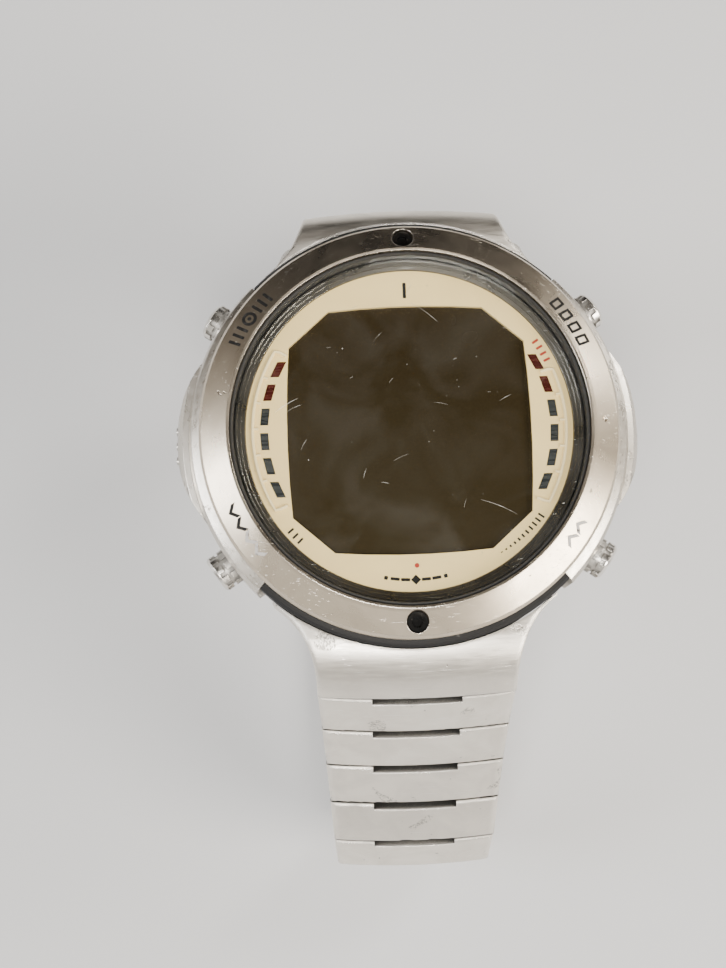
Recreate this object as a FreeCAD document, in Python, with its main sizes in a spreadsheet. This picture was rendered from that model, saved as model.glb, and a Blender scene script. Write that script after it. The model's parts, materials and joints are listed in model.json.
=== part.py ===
# Wrist dive computer with a metal bracelet: round steel head with four pushers,
# a link bracelet on each side and a folding clasp. Units are millimetres.
# Frame: origin at the centre of the case back's outer face, +Z out of the display,
# +Y towards 12 o'clock, +X towards 3 o'clock. The bracelet hangs below, closed.
import FreeCAD, Part
import math
import os
import Sketcher

os.makedirs("parts", exist_ok=True)
V = FreeCAD.Vector
doc = FreeCAD.newDocument("dive_computer")

DIMENSIONS = (
    # head, radii from the Z axis and heights above the case back
    ("bezel_radius", 23.2),
    ("bezel_lip", 19.75),
    ("bezel_top", 15.8),
    ("bezel_base", 12.4),
    ("crystal_radius", 19.3),
    ("crystal_thick", 1.5),
    ("dial_radius", 18.9),
    ("dial_top", 13.4),
    ("dial_thick", 0.5),
    ("dial_edge", 18.05),
    ("flange_radius", 19.2),
    ("window_half_x", 13.1),
    ("window_half_y", 13.6),
    ("window_corner_x", 8.6),
    ("window_corner_y", 9.6),
    ("window_bulge", 0.4),
    ("bar_circle", 16.0),
    ("bar_long", 1.85),
    ("bar_wide", 0.82),
    ("bar_first_angle", 26.5),
    ("bar_step_angle", 10.0),
    ("core_radius", 22.6),
    ("shoulder_radius", 24.6),
    ("guard_radius", 26.1),
    ("insert_radius", 24.0),
    ("shoulder_half_angle", 45.0),
    ("guard_half_angle", 20.8),
    ("cavity_radius", 16.4),
    ("module_radius", 18.2),
    ("back_radius", 19.5),
    ("back_thick", 1.4),
    ("bore_radius", 15.8),
    ("back_screw_circle", 17.6),
    ("bezel_screw_circle", 21.4),
    # pushers
    ("button_angle", 34.0),
    ("button_height", 7.0),
    ("button_radius", 2.15),
    ("button_tip", 26.7),
    ("button_neck", 23.5),
    ("stem_radius", 1.15),
    ("running_gap", 0.05),
    # bracelet links, measured from the pin axis that hangs the link
    ("link_pitch", 7.4),
    ("link_outer", 2.0),
    ("link_inner", 1.4),
    ("link_shoulder", 1.15),
    ("link_step", 2.0),
    ("link_reach", 0.8),
    ("link_crown", 86.0),
    ("link_side_round", 1.0),
    ("link_end_round", 0.35),
    ("skin_under", 1.2),
    ("ear_round", 1.5),
    ("tongue_half", 4.9),
    ("tongue_round", 1.05),
    ("pin_radius", 0.55),
    ("strap_width", 22.4),
    ("strap_taper", 0.55),
    ("end_tongue_half", 8.8),
    ("end_link_round", 0.5),
    ("lug_pin_radius", 20.9),
    ("lug_pin_height", 5.2),
    # clasp
    ("clasp_base", -40.0),
    ("clasp_half", 9.2),
    ("clasp_wall", 1.0),
    ("clasp_plate", 1.2),
    ("clasp_height", 4.5),
    ("blade_thick", 1.0),
    ("strap_end_half", 7.8),
    ("strap_end_pitch", 8.0),
    ("spring_bar_radius", 0.8),
)

sheet = doc.addObject("Spreadsheet::Sheet", "dims")
for row, (alias, value) in enumerate(DIMENSIONS, 1):
    sheet.set("A%d" % row, alias)
    sheet.set("B%d" % row, str(value))
    sheet.setAlias("B%d" % row, alias)
doc.recompute()


class Size:
    """A length held both as a number and as the sheet expression that gives it."""

    def __init__(self, text, value):
        self.text = text
        self.value = value

    def __add__(self, other):
        other = size(other)
        return Size("(%s + %s)" % (self.text, other.text), self.value + other.value)

    def __sub__(self, other):
        other = size(other)
        return Size("(%s - %s)" % (self.text, other.text), self.value - other.value)

    def __mul__(self, factor):
        return Size("(%s * %r)" % (self.text, float(factor)), self.value * factor)

    def __neg__(self):
        return self * -1

    __radd__ = __add__
    __rmul__ = __mul__

    def __rsub__(self, other):
        return size(other) - self


def size(value):
    if isinstance(value, Size):
        return value
    return Size("(%r)" % float(value), float(value))


def dim(alias):
    return Size("dims." + alias, float(sheet.get(alias)))


def put(obj, prop, value):
    """Set one property, bound to the sheet when the value comes from it."""
    if isinstance(value, Size):
        obj.setExpression(prop, value.text)
    elif "." not in prop:
        setattr(obj, prop, value)


def place(obj, at, rotation=None):
    spin = rotation or FreeCAD.Rotation()
    obj.Placement = FreeCAD.Placement(V(*[size(c).value for c in at]), spin)
    for letter, value in zip("xyz", at):
        put(obj, "Placement.Base." + letter, value)
    return obj


def box(x0, x1, y0, y1, z0, z1):
    obj = doc.addObject("Part::Box", "Block")
    put(obj, "Length", size(x1) - x0)
    put(obj, "Width", size(y1) - y0)
    put(obj, "Height", size(z1) - z0)
    return place(obj, (x0, y0, z0))


def wide_box(half, y0, y1, z0, z1):
    """A block symmetric about the YZ plane."""
    return box(-size(half), size(half), y0, y1, z0, z1)


TURN = {
    "x": FreeCAD.Rotation(V(0, 0, 1), V(1, 0, 0)),
    "y": FreeCAD.Rotation(V(0, 0, 1), V(0, 1, 0)),
    "z": FreeCAD.Rotation(),
}


def rod(radius, length, at, axis="z"):
    obj = doc.addObject("Part::Cylinder", "Rod")
    put(obj, "Radius", size(radius))
    put(obj, "Height", size(length))
    return place(obj, at, TURN[axis])


def cross_rod(radius, half, y, z):
    """A rod along X, symmetric about the YZ plane."""
    half = size(half)
    return rod(radius, half * 2, (-half, y, z), "x")


def sector(radius, z0, z1, half_angle, middle):
    """A pie slice of a disc, centred on the direction `middle` in degrees."""
    obj = doc.addObject("Part::Cylinder", "Sector")
    put(obj, "Radius", size(radius))
    put(obj, "Height", size(z1) - z0)
    put(obj, "Angle", size(half_angle) * 2)
    turn = FreeCAD.Rotation(V(0, 0, 1), middle - size(half_angle).value)
    return place(obj, (0, 0, z0), turn)


def fuse(*parts):
    obj = doc.addObject("Part::MultiFuse", "Fuse")
    obj.Shapes = list(parts)
    return obj


def common(*parts):
    obj = doc.addObject("Part::MultiCommon", "Common")
    obj.Shapes = list(parts)
    return obj


def cut(base, *tools):
    obj = doc.addObject("Part::Cut", "Cut")
    obj.Base = base
    obj.Tool = tools[0] if len(tools) == 1 else fuse(*tools)
    return obj


def together(*parts):
    """Separate identical solids kept as one sub-part."""
    obj = doc.addObject("Part::Compound", "Group")
    obj.Links = list(parts)
    return obj


def turned_copy(source, degrees):
    """A linked copy of a part, turned about the Z axis."""
    obj = doc.addObject("Part::Compound", "Copy")
    obj.Links = [source]
    obj.Placement = FreeCAD.Placement(V(0, 0, 0), FreeCAD.Rotation(V(0, 0, 1), degrees))
    return obj


def origin_plane(body, role):
    return next(f for f in body.Origin.OriginFeatures if f.Role == role)


def draw(body, role, corners):
    """A closed outline whose every corner is dimensioned from the origin."""
    sketch = body.newObject("Sketcher::SketchObject", "Outline")
    sketch.AttachmentSupport = [(origin_plane(body, role), "")]
    sketch.MapMode = "FlatFace"
    corners = [(size(a), size(b)) for a, b in corners]
    points = [V(a.value, b.value, 0) for a, b in corners]
    for start, end in zip(points, points[1:] + points[:1]):
        sketch.addGeometry(Part.LineSegment(start, end), False)
    count = len(points)
    for i in range(count):
        sketch.addConstraint(Sketcher.Constraint("Coincident", i, 2, (i + 1) % count, 1))
    for i, (a, b) in enumerate(corners):
        for kind, value in (("DistanceX", a), ("DistanceY", b)):
            rule = Sketcher.Constraint(kind, -1, 1, i, 1, value.value)
            index = sketch.addConstraint(rule)
            label = "%s%d" % (kind[-1].lower() + "_corner", i)
            sketch.renameConstraint(index, label)
            sketch.setExpression("Constraints." + label, value.text)
    return sketch


def turned(corners):
    """A body of revolution about Z from (radius, height) corners."""
    body = doc.addObject("PartDesign::Body", "Turned")
    sketch = draw(body, "XZ_Plane", corners)
    spin = body.newObject("PartDesign::Revolution", "Spin")
    spin.Profile = sketch
    spin.ReferenceAxis = (sketch, ["V_Axis"])
    spin.Angle = 360.0
    return body


def prism(corners, z0, z1):
    """A body padded along Z from (x, y) corners."""
    body = doc.addObject("PartDesign::Body", "Prism")
    sketch = draw(body, "XY_Plane", corners)
    pad = body.newObject("PartDesign::Pad", "Rise")
    pad.Profile = sketch
    put(pad, "Length", size(z1) - z0)
    return place(body, (0, 0, z0))


def side_prism(corners, half):
    """A body padded both ways along X from (y, z) corners."""
    body = doc.addObject("PartDesign::Body", "SidePrism")
    sketch = draw(body, "YZ_Plane", corners)
    pad = body.newObject("PartDesign::Pad", "Spread")
    pad.Profile = sketch
    pad.Midplane = True
    put(pad, "Length", size(half) * 2)
    return body


subparts = []


def keep(name, obj):
    obj.Label = name
    subparts.append(obj)
    return obj


# ---------------------------------------------------------------- head, outer shell
bezel_radius = dim("bezel_radius")
bezel_lip = dim("bezel_lip")
bezel_top = dim("bezel_top")
bezel_base = dim("bezel_base")
screw_circle = dim("bezel_screw_circle")

bezel_ring = turned((
    (bezel_lip, bezel_base), (bezel_lip, bezel_top - 0.05), (bezel_lip + 0.3, bezel_top),
    (bezel_lip + 0.65, bezel_top - 0.2), (bezel_radius - 0.3, bezel_top - 1.5),
    (bezel_radius, bezel_top - 2.0), (bezel_radius, bezel_base + 0.2),
    (bezel_radius - 0.2, bezel_base),
))
bezel_holes = [rod(1.22, 4.0, (0, screw_circle * side, bezel_base - 0.1)) for side in (1, -1)]
dimple = doc.addObject("Part::Sphere", "Dimple")
dimple.Radius = 0.35
place(dimple, (screw_circle, 0, bezel_top - 0.55))
keep("bezel", cut(bezel_ring, *bezel_holes, dimple))


def socket_screw(x, y, top, head_radius, head_height, shank_radius, length, sign):
    """A cap screw whose head faces along sign * Z, with a hexagon socket."""
    low = top - head_height if sign > 0 else top
    start = low - length if sign > 0 else low + head_height
    head = rod(head_radius, head_height, (x, y, low))
    shank = rod(shank_radius, length + 0.2, (x, y, start if sign > 0 else start - 0.2))
    socket = doc.addObject("Part::Prism", "Socket")
    socket.Polygon = 6
    put(socket, "Circumradius", size(head_radius * 0.55))
    put(socket, "Height", size(0.6))
    place(socket, (x, y, top - 0.5 if sign > 0 else top - 0.1))
    return cut(fuse(head, shank), socket)


bezel_screw_top = bezel_top - 1.9
keep("bezel_screws", together(*[
    socket_screw(0, screw_circle * side, bezel_screw_top, 1.15, 1.4, 0.75, 2.9, 1)
    for side in (1, -1)
]))

core_radius = dim("core_radius")
cavity_radius = dim("cavity_radius")
module_radius = dim("module_radius")
back_thick = dim("back_thick")
bore_radius = dim("bore_radius")
module_floor = 7.85

core = turned((
    (bore_radius, back_thick), (core_radius - 2.0, back_thick), (core_radius, back_thick + 1.6),
    (core_radius, bezel_base), (module_radius + 0.1, bezel_base),
    (module_radius + 0.1, module_floor), (cavity_radius, module_floor),
    (cavity_radius, back_thick + 1.4), (bore_radius, back_thick + 1.4),
))
shoulder_radius = dim("shoulder_radius")
shoulder_half_angle = dim("shoulder_half_angle")
shoulder_ring = turned((
    (core_radius - 0.6, back_thick + 0.5), (shoulder_radius - 1.2, back_thick + 1.2),
    (shoulder_radius, back_thick + 3.4), (shoulder_radius, bezel_base - 1.6),
    (shoulder_radius - 0.4, bezel_base - 0.6), (shoulder_radius - 1.4, bezel_base - 0.05),
    (core_radius - 0.6, bezel_base - 0.05),
))
shoulder_slices = [
    sector(30.0, 0.0, 14.0, shoulder_half_angle, middle) for middle in (0, 180)
]
shoulders = common(shoulder_ring, fuse(*shoulder_slices))

insert_radius = dim("insert_radius")
lug_pin_radius = dim("lug_pin_radius")
lug_pin_height = dim("lug_pin_height")
end_tongue_half = dim("end_tongue_half")
lug_blocks = []
for side in (1, -1):
    for flank in (1, -1):
        inner = (end_tongue_half + 0.1) * flank
        outer = (end_tongue_half + 3.2) * flank
        near, far = (inner, outer) if flank > 0 else (outer, inner)
        front, rear = (18.5, 24.5) if side > 0 else (-24.5, -18.5)
        lug_blocks.append(box(near, far, front, rear, 2.8, 7.6))
lugs = common(fuse(*lug_blocks), rod(insert_radius, 12.0, (0, 0, 0)))

tongue_pockets = [
    wide_box(end_tongue_half + 0.1, *((19.5, 25.0) if side > 0 else (-25.0, -19.5)), 3.9, 6.5)
    for side in (1, -1)
]
lug_pin_holes = [
    cross_rod(dim("pin_radius") + 0.02, 10.8, lug_pin_radius * side, lug_pin_height)
    for side in (1, -1)
]
bezel_screw_holes = [rod(0.8, 4.0, (0, screw_circle * side, 9.4)) for side in (1, -1)]
button_height = dim("button_height")
button_angle = dim("button_angle")
button_neck = dim("button_neck")
button_radius = dim("button_radius")
stem_radius = dim("stem_radius")
running_gap = dim("running_gap")
recess_floor = button_neck - 0.8
spring_seat = button_neck - 2.3

button_pocket = fuse(
    rod(stem_radius + running_gap, 10.0, (14.0, 0, button_height), "x"),
    rod(button_radius - 0.2, 4.0, (spring_seat, 0, button_height), "x"),
    rod(button_radius + 0.15, 6.0, (recess_floor, 0, button_height), "x"),
)
BUTTONS = (("button_ur", 1, 0), ("button_ul", -1, 180), ("button_ll", 1, 180), ("button_lr", -1, 0))
button_pockets = [
    turned_copy(button_pocket, half_turn + button_angle.value * sign)
    for _, sign, half_turn in BUTTONS
]
back_screw_circle = dim("back_screw_circle")
diagonal = back_screw_circle * math.cos(math.radians(45.0))
DIAGONALS = ((1, 1), (-1, 1), (-1, -1), (1, -1))
back_screw_holes = [rod(0.8, 4.0, (diagonal * i, diagonal * j, 1.3)) for i, j in DIAGONALS]
contact_spots = (-1.7, 0.0, 1.7)
guard_radius = dim("guard_radius")
contact_holes = [
    rod(0.47, 6.0, (-(guard_radius + 0.4), spot, 7.4), "x") for spot in contact_spots
]
mid_case = cut(
    fuse(core, shoulders, lugs), *tongue_pockets, *lug_pin_holes, *bezel_screw_holes,
    *button_pockets, *back_screw_holes, *contact_holes,
)
keep("mid_case", mid_case)

insert_ring = turned((
    (core_radius + 0.05, 7.7), (insert_radius - 0.5, 7.7), (insert_radius, 8.3),
    (insert_radius, bezel_base - 0.4), (insert_radius - 0.3, bezel_base - 0.05),
    (core_radius + 0.05, bezel_base - 0.05),
))
insert_half = 90.0 - shoulder_half_angle - 0.3
keep("body_inserts", together(*[
    common(insert_ring, sector(30.0, 0.0, 14.0, insert_half, middle)) for middle in (90, 270)
]))

guard_ring = turned((
    (shoulder_radius + 0.02, 3.4), (guard_radius - 0.5, 4.0), (guard_radius, 5.4),
    (guard_radius, 8.6), (guard_radius - 0.3, 9.6), (guard_radius - 0.75, 10.3),
    (shoulder_radius + 0.02, 10.5),
))
guard_half_angle = dim("guard_half_angle")
guards = []
for middle, flank in ((0, 1), (180, -1)):
    swell = rod(14.2, 14.0, (12.0 * flank, 0, 0))
    guards.append(common(guard_ring, sector(30.0, 0.0, 14.0, guard_half_angle, middle), swell))
guards[1] = cut(guards[1], *[
    rod(0.47, 6.0, (-(guard_radius + 0.4), spot, 7.4), "x") for spot in contact_spots
])
keep("flank_guards", together(*guards))
keep("contact_pins", together(*[
    rod(0.45, 2.6, (-(guard_radius + 0.2), spot, 7.4), "x") for spot in contact_spots
]))

# ---------------------------------------------------------------- glass and display
crystal_radius = dim("crystal_radius")
crystal_thick = dim("crystal_thick")
dial_top = dim("dial_top")
dial_thick = dim("dial_thick")
dial_radius = dim("dial_radius")
dial_edge = dim("dial_edge")
flange_radius = dim("flange_radius")
glass_base = dial_top + 0.6

keep("crystal", turned((
    (0, glass_base), (crystal_radius, glass_base),
    (crystal_radius, glass_base + crystal_thick - 0.35),
    (crystal_radius - 0.35, glass_base + crystal_thick), (0, glass_base + crystal_thick),
)))
keep("crystal_gasket", turned((
    (crystal_radius + 0.02, bezel_base + 0.05), (bezel_lip - 0.02, bezel_base + 0.05),
    (bezel_lip - 0.02, bezel_top - 0.5), (bezel_lip - 0.2, bezel_top - 0.35),
    (crystal_radius + 0.15, bezel_top - 0.35), (crystal_radius + 0.02, bezel_top - 0.55),
)))
keep("flange_ring", turned((
    (dial_edge, dial_top), (flange_radius, dial_top), (flange_radius, glass_base - 0.02),
    (dial_edge + 0.95, glass_base - 0.02), (dial_edge + 0.9, dial_top + 0.46),
    (dial_edge + 0.55, dial_top + 0.40), (dial_edge + 0.5, dial_top + 0.26),
    (dial_edge + 0.1, dial_top + 0.18),
)))


def window_outline(margin):
    """An octagon with gently bowed sides, grown by a margin."""
    half_x = dim("window_half_x").value + margin
    half_y = dim("window_half_y").value + margin
    corner_x = dim("window_corner_x").value + margin * 0.4
    corner_y = dim("window_corner_y").value + margin * 0.4
    bulge = dim("window_bulge").value
    shares = (-1.0, -0.6, -0.2, 0.2, 0.6, 1.0)
    right = [(half_x + bulge * (1.0 - k * k), corner_y * k) for k in shares]
    upper = [(-corner_x * k, half_y + bulge * (1.0 - k * k)) for k in shares]
    left = [(-a, -b) for a, b in right]
    lower = [(-a, -b) for a, b in upper]
    return right + upper + left + lower


def bar_blank(angle, side, grow, z0, height):
    """One display segment on the bar circle: long along the circle, ends level."""
    turn = math.radians(angle)
    circle = dim("bar_circle").value
    half_wide = dim("bar_wide").value / 2.0 + grow
    half_rise = dim("bar_long").value / 2.0 * math.cos(turn) + grow
    corners = []
    for offset, rise in (
        (-half_wide, -half_rise), (half_wide, -half_rise), (half_wide, half_rise),
        (-half_wide, half_rise),
    ):
        along = (rise - offset * math.sin(turn)) / math.cos(turn)
        x = (circle + offset) * math.cos(turn) - along * math.sin(turn)
        y = (circle + offset) * math.sin(turn) + along * math.cos(turn)
        corners.append(V(x * side, y, z0))
    wire = Part.makePolygon(corners + corners[:1])
    return Part.Face(wire).extrude(V(0, 0, height))


def bar_set(label, grow, z0, height):
    first = dim("bar_first_angle").value
    step = dim("bar_step_angle").value
    obj = doc.addObject("Part::Feature", label)
    obj.Shape = Part.makeCompound([
        bar_blank(first - step * i, side, grow, z0, height) for side in (1, -1) for i in range(6)
    ])
    return obj


dial_base = dial_top - dial_thick
dial_disc = rod(dial_radius, dial_thick, (0, 0, dial_base))
window_cut = prism(window_outline(0.0), dial_base - 0.2, dial_top + 0.2)
bar_windows = bar_set("BarWindows", 0.04, dial_base.value - 0.2, dial_thick.value + 0.4)
keep("dial_plate", cut(dial_disc, window_cut, bar_windows))
keep("indicator_bars", bar_set("Bars", 0.0, dial_base.value, dial_thick.value - 0.05))
keep("lcd_panel", prism(window_outline(0.8), dial_base - 1.5, dial_base - 0.05))

holder_blank = rod(module_radius, dial_base - 0.02 - module_floor, (0, 0, module_floor + 0.02))
holder_pocket = prism(window_outline(0.9), dial_base - 1.55, dial_base + 0.5)
holder_hollow = rod(14.0, 2.6, (0, 0, module_floor - 0.1))
holder_notches = [
    turned_copy(rod(stem_radius + 0.3, 6.0, (16.1, 0, button_height), "x"),
                half_turn + button_angle.value * sign)
    for _, sign, half_turn in BUTTONS
]
keep("module_holder", cut(holder_blank, holder_pocket, holder_hollow, *holder_notches))

board = rod(cavity_radius - 0.2, 0.8, (0, 0, 6.95))
chips = [
    box(-4.5, 4.5, -4.0, 4.0, 7.7, 9.0),
    box(6.5, 10.5, -8.0, -4.0, 7.7, 8.7),
    box(-11.0, -8.0, 2.0, 7.5, 7.7, 8.9),
    box(-2.5, 2.5, 7.5, 9.5, 7.7, 9.4),
    rod(1.6, 1.6, (8.5, 6.0, 7.7)),
]
keep("circuit_board", fuse(board, *chips))

battery_can = rod(12.25, 4.4, (-2.0, 0, 1.65))
battery_cap = rod(10.6, 0.55, (-2.0, 0, 6.0))
battery_rim = rod(11.6, 0.2, (-2.0, 0, 5.9))
keep("battery", fuse(battery_can, battery_rim, battery_cap))

sensor_spot = 12.4
sensor_body = rod(1.75, 3.4, (sensor_spot, 0, 3.3))
sensor_neck = rod(1.1, 1.8, (sensor_spot, 0, 1.6))
keep("pressure_sensor", fuse(sensor_body, sensor_neck))

# ---------------------------------------------------------------- case back
back_radius = dim("back_radius")
back_plate = turned((
    (0, 0), (back_radius - 0.5, 0), (back_radius, 0.4), (back_radius, back_thick),
    (bore_radius - 0.05, back_thick), (bore_radius - 0.05, 1.6), (bore_radius - 0.75, 1.6),
    (bore_radius - 0.75, 2.4), (bore_radius - 0.05, 2.4), (bore_radius - 0.05, 2.65),
    (bore_radius - 1.35, 2.65), (bore_radius - 1.35, back_thick), (0, back_thick),
))
back_holes = [rod(0.85, 4.0, (diagonal * i, diagonal * j, -0.5)) for i, j in DIAGONALS]
back_sinks = [rod(1.45, 1.5, (diagonal * i, diagonal * j, -0.55)) for i, j in DIAGONALS]
sensor_ports = [rod(0.35, 3.0, (sensor_spot + x, y, -0.5)) for x, y in ((0, 0), (0, 1.0), (0, -1.0))]
keep("back_cover", cut(back_plate, *back_holes, *back_sinks, *sensor_ports))
gasket = doc.addObject("Part::Torus", "Gasket")
put(gasket, "Radius1", bore_radius - 0.38)
gasket.Radius2 = 0.35
place(gasket, (0, 0, 2.0))
keep("back_gasket", gasket)
keep("back_screws", together(*[
    socket_screw(diagonal * i, diagonal * j, size(0.1), 1.35, 0.8, 0.75, 3.7, -1)
    for i, j in DIAGONALS
]))

# ---------------------------------------------------------------- pushers
button_tip = dim("button_tip")


def button_blank():
    """A pusher along +X: castellated head with a waist groove, and a plain stem."""
    head = rod(button_radius, button_tip - button_neck - 0.3, (button_neck, 0, button_height), "x")
    rim = doc.addObject("Part::Cone", "Rim")
    put(rim, "Radius1", button_radius)
    put(rim, "Radius2", button_radius - 0.3)
    put(rim, "Height", size(0.3))
    place(rim, (button_tip - 0.3, 0, button_height), TURN["x"])
    stem = rod(stem_radius, 6.6, (17.4, 0, button_height), "x")
    waist_outer = rod(button_radius + 0.5, 0.35, (button_tip - 1.45, 0, button_height), "x")
    waist_inner = rod(button_radius - 0.3, 0.35, (button_tip - 1.45, 0, button_height), "x")
    waist = cut(waist_outer, waist_inner)
    notches = []
    for i in range(10):
        notch = box(button_neck + 0.35, button_tip - 0.45, -0.28, 0.28, 0, 0.6)
        turn = FreeCAD.Rotation(V(1, 0, 0), 36.0 * i + 18.0)
        reach = turn.multVec(V(0, -0.28, button_radius.value - 0.3))
        notch.setExpression("Placement.Base.y", None)
        notch.setExpression("Placement.Base.z", None)
        base = V(button_neck.value + 0.35, reach.y, button_height.value + reach.z)
        notch.Placement = FreeCAD.Placement(base, turn)
        notches.append(notch)
    return cut(fuse(head, rim, stem), waist, *notches)


def ring_spring(x0, x1, radius, wire, count):
    """A spring along +X made of rings joined by short posts on alternate sides."""
    gap = (x1 - x0 - wire * 2.0) * (1.0 / (count - 1))
    pieces = []
    for i in range(count):
        ring = doc.addObject("Part::Torus", "Ring")
        put(ring, "Radius1", size(radius))
        put(ring, "Radius2", size(wire))
        pieces.append(place(ring, (x0 + wire + gap * i, 0, button_height), TURN["x"]))
        if i:
            lift = radius if i % 2 else -radius
            start = (x0 + wire + gap * (i - 1), 0, button_height + lift)
            pieces.append(rod(wire - 0.04, gap, start, "x"))
    return fuse(*pieces)


springs = []
for name, sign, half_turn in BUTTONS:
    angle = half_turn + button_angle.value * sign
    keep(name, turned_copy(button_blank(), angle))
    spring = ring_spring(spring_seat + 0.03, button_neck - 0.03, 1.5, 0.17, 5)
    springs.append(turned_copy(spring, angle))
keep("button_springs", together(*springs))

# ---------------------------------------------------------------- bracelet
pitch = dim("link_pitch")
link_outer = dim("link_outer")
link_inner = dim("link_inner")
link_shoulder = dim("link_shoulder")
link_step = dim("link_step")
link_reach = dim("link_reach")
link_crown = dim("link_crown")
skin_under = dim("skin_under")
ear_round = dim("ear_round")
tongue_half = dim("tongue_half")
tongue_round = dim("tongue_round")
pin_radius = dim("pin_radius")
strap_width = dim("strap_width")
strap_taper = dim("strap_taper")


def hinge_cuts(y, z=0.0):
    """The room a neighbour's tongue needs around a pin, and the pin's hole."""
    gap_half = tongue_half + 0.15
    return (
        cross_rod(tongue_round + 0.15, gap_half, y, z),
        wide_box(gap_half, size(y), size(y) + 2.5, size(z) - 3.0, size(z) + skin_under),
        wide_box(gap_half, size(y) - tongue_round - 0.15, size(y) + 2.5, size(z) - 3.0, z),
        cross_rod(pin_radius + 0.02, 15.0, y, z),
    )


def tongue():
    """The rounded tongue by which a link hangs on its upper pin."""
    eye = cross_rod(tongue_round, tongue_half, 0, 0)
    neck = wide_box(tongue_half, 0, link_step + 0.2, -tongue_round, 0.3)
    return cut(fuse(eye, neck), cross_rod(pin_radius + running_gap, 15.0, 0, 0))


def soften(obj, pick):
    """Round the edges of a solid; `pick` gives each edge its radius alias, or nothing."""
    doc.recompute()
    rounded = doc.addObject("Part::Fillet", "Rounded")
    rounded.Base = obj
    radii = [(i, pick(edge)) for i, edge in enumerate(obj.Shape.Edges, 1)]
    rounded.Edges = [(i, dim(alias).value, dim(alias).value) for i, alias in radii if alias]
    return rounded


def skin_edges(edge):
    """A link's outer face: large rounds along its sides, small ones across its ends."""
    extent = edge.BoundBox
    if extent.ZMax < 1.0 or (extent.XLength < 0.5 and extent.YLength < 0.1):
        return None
    return "link_side_round" if extent.YLength > 3.0 else "link_end_round"


def link_blank(width_top, width_low):
    """A link hung on a pin along X at its origin; +Y runs down the strap, +Z outwards."""
    plate = doc.addObject("Part::Wedge", "Plate")
    half_top = width_top * 0.5
    half_low = width_low * 0.5
    for prop, value in (
        ("Xmin", -half_top), ("Xmax", half_top), ("X2min", -half_low), ("X2max", half_low),
        ("Ymin", link_shoulder), ("Ymax", pitch + link_reach),
        ("Zmin", -link_inner), ("Zmax", link_outer), ("Z2min", -link_inner), ("Z2max", link_outer),
    ):
        put(plate, prop, value)
    crown = rod(link_crown, 12.0, (0, -1.0, link_outer - link_crown), "y")
    skin = soften(common(plate, crown), skin_edges)
    under = wide_box(15.0, pitch, pitch + 3.0, -3.0, 0)
    ear = common(
        cross_rod(ear_round, half_low - 0.12, pitch, 0),
        wide_box(15.0, 0, pitch + 3.0, -link_inner, link_outer - 0.9),
    )
    shell = fuse(cut(skin, under), ear)
    relief = cross_rod(ear_round + 0.12, 15.0, 0, 0)
    step = wide_box(tongue_half + 0.15, 0, link_step, -3.0, 3.0)
    return fuse(cut(shell, relief, step, *hinge_cuts(pitch)), tongue())


def strap_end_blank():
    """The narrow last link that enters the clasp and holds the spring bar."""
    end = dim("strap_end_pitch")
    half = dim("strap_end_half")
    plate = wide_box(half, link_shoulder, end, -1.3, 1.4)
    eye = cross_rod(1.4, half, end, 0)
    relief = cross_rod(ear_round + 0.12, 15.0, 0, 0)
    step = wide_box(tongue_half + 0.15, 0, link_step, -3.0, 3.0)
    bore = cross_rod(dim("spring_bar_radius") + running_gap, 15.0, end, 0)
    return fuse(cut(fuse(plate, eye), relief, step, bore), tongue())


def hang(obj, side, pin, slope):
    """Place a link by its upper pin. side -1 is the 6 o'clock strap, +1 the other."""
    tilt = FreeCAD.Rotation(V(1, 0, 0), -slope)
    if side < 0:
        tilt = FreeCAD.Rotation(V(0, 0, 1), 180.0).multiply(tilt)
    obj.Placement = FreeCAD.Placement(V(0, pin[0], pin[1]), tilt)
    return obj


def walk(start, side, slopes):
    """Pin positions down one strap, one more than there are links."""
    pins = [start]
    for slope in slopes:
        y, z = pins[-1]
        step = pitch.value
        down = math.radians(slope)
        pins.append((y + side * step * math.cos(down), z - step * math.sin(down)))
    return pins


# Slope of each link below the horizontal, walking down each strap from the head.
LOWER_SLOPES = (61.0, 57.0, 52.0, 48.0, 62.0, 92.0)
LOWER_END_SLOPE = 125.0
UPPER_SLOPES = (84.0, 96.0, 104.0, 112.0, 122.0, 134.0)
LOWER_START = (-27.23, 6.60)
UPPER_START = (25.60, 5.20)

lower_pins = walk(LOWER_START, -1, LOWER_SLOPES)
upper_pins = walk(UPPER_START, 1, UPPER_SLOPES)

STRAPS = (("lower", -1, lower_pins, LOWER_SLOPES), ("upper", 1, upper_pins, UPPER_SLOPES))
for label, side, pins, slopes in STRAPS:
    for i, slope in enumerate(slopes):
        top = strap_width - strap_taper * i
        low = strap_width - strap_taper * (i + 1)
        keep("%s_link_%d" % (label, i + 1), hang(link_blank(top, low), side, pins[i], slope))
        pin = cross_rod(pin_radius, (low - 1.0) * 0.5, 0, 0)
        pin.setExpression("Placement.Base.x", None)
        pin.Placement = FreeCAD.Placement(
            V(-(low.value - 1.0) / 2.0, pins[i + 1][0], pins[i + 1][1]), TURN["x"])
        keep("%s_pin_%d" % (label, i + 1), pin)

keep("lower_link_7", hang(strap_end_blank(), -1, lower_pins[-1], LOWER_END_SLOPE))


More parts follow.
